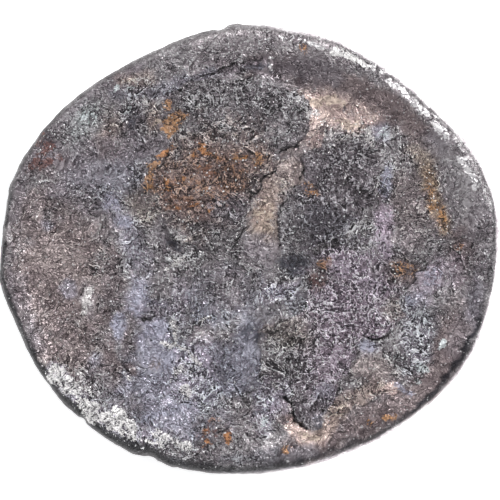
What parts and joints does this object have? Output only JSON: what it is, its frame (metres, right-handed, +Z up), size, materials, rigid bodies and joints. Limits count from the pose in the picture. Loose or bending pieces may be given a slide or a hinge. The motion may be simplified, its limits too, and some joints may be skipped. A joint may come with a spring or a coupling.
{
  "type": "ancient silver quinarius coin",
  "caption": "Small worn and corroded ancient silver coin with a dished upper face and an uneven oval edge, lying flat.",
  "frame": {"origin": "on the table, under the middle of the coin's outline", "axes": "+Z up out of the dished face, +X along the coin's long side, to the right of the upper face"},
  "size_m": [0.016, 0.0144, 0.0015],
  "materials": {
    "toned_silver": "dark toned silver with a rough corrosion crust, rust and lavender stains, and bright worn metal on the rim"
  },
  "bodies": {
    "root": {"coin": "toned_silver"}
  },
  "joints": []
}
